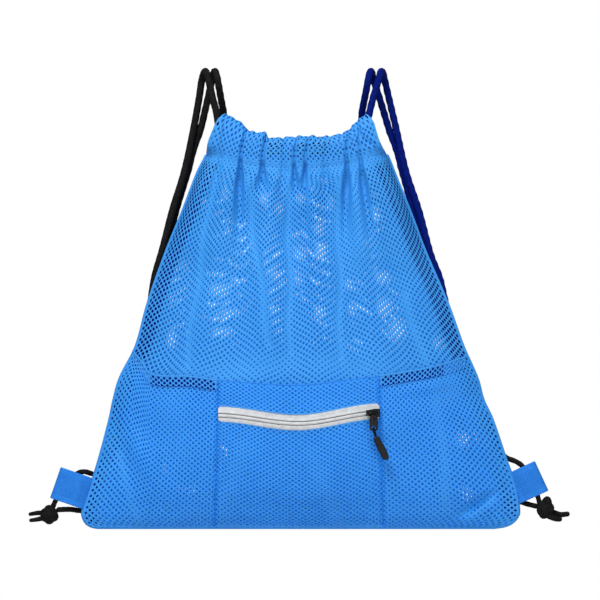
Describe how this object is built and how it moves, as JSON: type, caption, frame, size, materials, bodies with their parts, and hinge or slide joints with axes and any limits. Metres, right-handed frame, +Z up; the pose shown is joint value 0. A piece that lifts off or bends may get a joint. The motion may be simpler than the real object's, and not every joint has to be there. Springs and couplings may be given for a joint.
{
  "type": "mesh drawstring bag",
  "caption": "Gathered mesh drawstring bag with a zipped front pocket, open side pockets, webbing side loops and knotted cord straps, shown hanging by its cord loops.",
  "frame": {"origin": "on the axis of the level bar that the cord loops hang over, midway between the sides", "axes": "+X to the bag's right as seen from the front, along the bar; +Y towards the back; +Z up"},
  "size_m": [0.5404, 0.078, 0.459],
  "materials": {
    "mesh": "knitted polyester mesh",
    "webbing": "ribbed woven webbing",
    "zip_tape": "woven tape",
    "zip_teeth": "nylon coil",
    "zip_metal": "gunmetal",
    "pull_cord": "thin braid",
    "pull_grip": "moulded",
    "cord_black": "braided cord",
    "cord_navy": "braided cord"
  },
  "bodies": {
    "bag": {"front_panel": "mesh", "back_panel": "mesh", "pocket_panel": "mesh", "front_casing": "mesh", "back_casing": "mesh", "zip_tape_upper": "zip_tape", "zip_tape_lower": "zip_tape", "zip_teeth": "zip_teeth", "zip_slider": "zip_metal", "left_tab": "webbing", "right_tab": "webbing", "left_cord": "cord_black", "right_cord": "cord_navy", "left_knot": "cord_black", "right_knot": "cord_black"},
    "pull": {"pull_tab": "zip_metal", "pull_cord": "pull_cord", "pull_grip": "pull_grip"}
  },
  "joints": [
    {"name": "pull_swing", "type": "hinge", "parent": "bag", "child": "pull", "pos_m": [0.0734, -0.0426, -0.33099], "axis": [-0.9848, -0.174, 0], "range_deg": [0, 150]}
  ]
}
